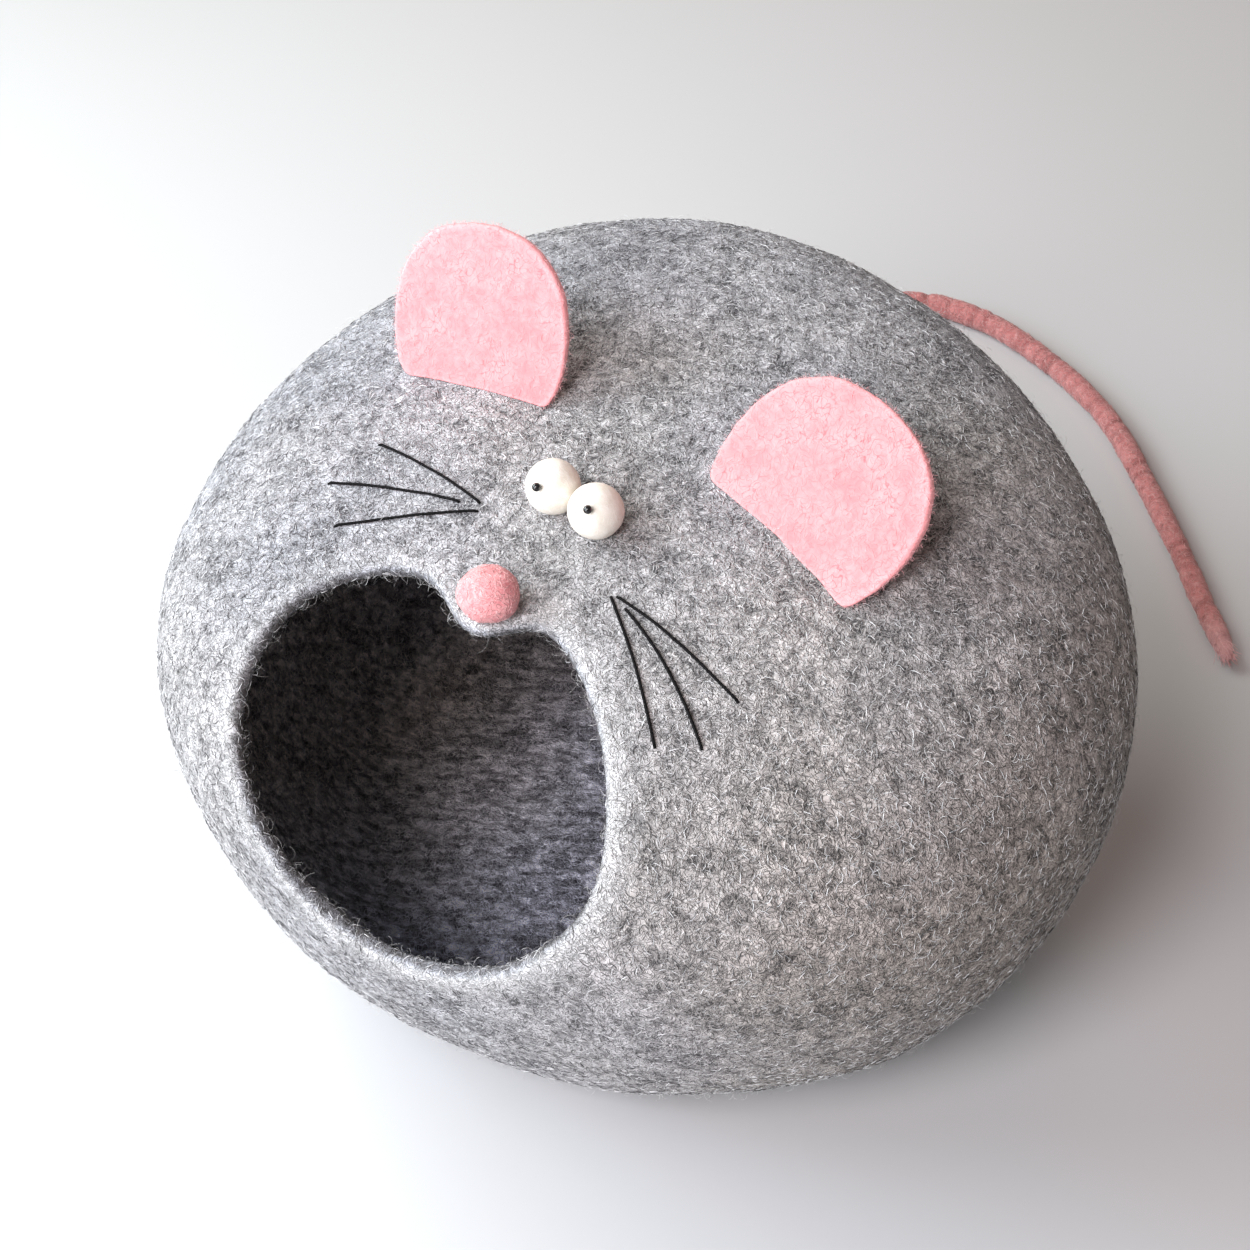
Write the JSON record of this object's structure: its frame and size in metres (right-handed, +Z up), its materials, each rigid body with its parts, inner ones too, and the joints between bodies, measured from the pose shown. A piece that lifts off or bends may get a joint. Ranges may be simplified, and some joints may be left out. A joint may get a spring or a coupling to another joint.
{
  "type": "felt cat cave",
  "caption": "Hollow felted-wool cat cave shaped as a mouse: round pod with a slanting mouth opening, flat ears, ball eyes, nose, whiskers and a long tail.",
  "frame": {"origin": "on the floor, under the middle of the pod's width and depth", "axes": "+Z up; the mouse's face and mouth look towards -Y; its own left ear is at +X; the tail leaves at +Y"},
  "size_m": [0.4945, 0.7446, 0.3549],
  "materials": {
    "grey_felt": "thick wet-felted wool, mottled grey, faintly hairy",
    "pink_felt": "pressed wool felt, light pink, matt",
    "rose_wool": "needle-felted wool ball, rose",
    "tail_wool": "rolled felt cord, dusty pink, faint creases",
    "white_wool": "felted wool balls, warm white",
    "black_bead": "glossy round bead",
    "black_thread": "waxed sewing thread"
  },
  "bodies": {
    "root": {"pod": "grey_felt", "ear_left": "pink_felt", "ear_right": "pink_felt", "eye_left": "white_wool", "eye_right": "white_wool", "pupil_left": "black_bead", "pupil_right": "black_bead", "nose": "rose_wool", "tail": "tail_wool", "whisker_left_1": "black_thread", "whisker_left_2": "black_thread", "whisker_left_3": "black_thread", "whisker_right_1": "black_thread", "whisker_right_2": "black_thread", "whisker_right_3": "black_thread"}
  },
  "joints": []
}
